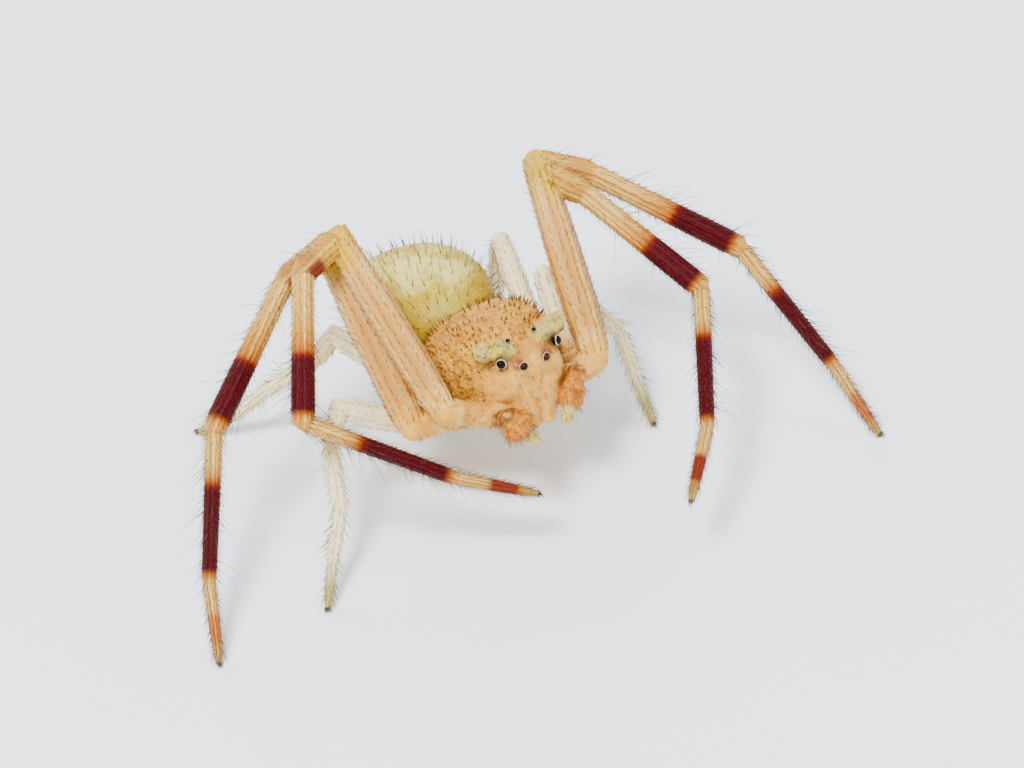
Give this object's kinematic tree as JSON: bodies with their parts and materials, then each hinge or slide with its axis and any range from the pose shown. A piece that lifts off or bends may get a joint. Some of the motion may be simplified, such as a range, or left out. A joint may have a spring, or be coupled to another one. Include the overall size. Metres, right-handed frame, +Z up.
{
  "type": "crab spider",
  "caption": "Male crab spider as a still life-size model in a natural pose, its banded front legs bent high over the body.",
  "frame": {"origin": "middle of the whole box in X and Y, at the level that the standing feet rest on", "axes": "+Z up; the spider faces -Y and its own left side is +X"},
  "size_m": [0.0146, 0.0106, 0.006],
  "materials": {
    "carapace": "satin, granular, with short brown spines",
    "abdomen": "matte, with erect brown bristles",
    "front_leg": "satin, with dark red bands",
    "rear_leg": "satin, slightly see-through",
    "palp_tip": "satin, hairy",
    "eye": "high gloss",
    "claw": "gloss"
  },
  "bodies": {
    "root": {"carapace": "carapace", "sternum_and_coxae": "carapace", "mouthparts": "carapace", "waist": "carapace", "abdomen": "abdomen", "spinnerets": "abdomen", "R_front_middle_eye": "eye", "R_front_side_eye": "eye", "R_rear_middle_eye": "eye", "R_rear_side_eye": "eye", "R_chelicera": "carapace", "R_fang": "claw", "R_palp_arm": "carapace", "R_palp_tip": "palp_tip", "L_front_middle_eye": "eye", "L_front_side_eye": "eye", "L_rear_middle_eye": "eye", "L_rear_side_eye": "eye", "L_chelicera": "carapace", "L_fang": "claw", "L_palp_arm": "carapace", "L_palp_tip": "palp_tip", "R1_femur": "front_leg", "R1_patella_tibia": "front_leg", "R1_metatarsus_tarsus": "front_leg", "R1_claws": "claw", "R2_femur": "front_leg", "R2_patella_tibia": "front_leg", "R2_metatarsus_tarsus": "front_leg", "R2_claws": "claw", "R3_femur": "rear_leg", "R3_patella_tibia": "rear_leg", "R3_metatarsus_tarsus": "rear_leg", "R3_claws": "claw", "R4_femur": "rear_leg", "R4_patella_tibia": "rear_leg", "R4_metatarsus_tarsus": "rear_leg", "R4_claws": "claw", "L1_femur": "front_leg", "L1_patella_tibia": "front_leg", "L1_metatarsus_tarsus": "front_leg", "L1_claws": "claw", "L2_femur": "front_leg", "L2_patella_tibia": "front_leg", "L2_metatarsus_tarsus": "front_leg", "L2_claws": "claw", "L3_femur": "rear_leg", "L3_patella_tibia": "rear_leg", "L3_metatarsus_tarsus": "rear_leg", "L3_claws": "claw", "L4_femur": "rear_leg", "L4_patella_tibia": "rear_leg", "L4_metatarsus_tarsus": "rear_leg", "L4_claws": "claw"}
  },
  "joints": []
}
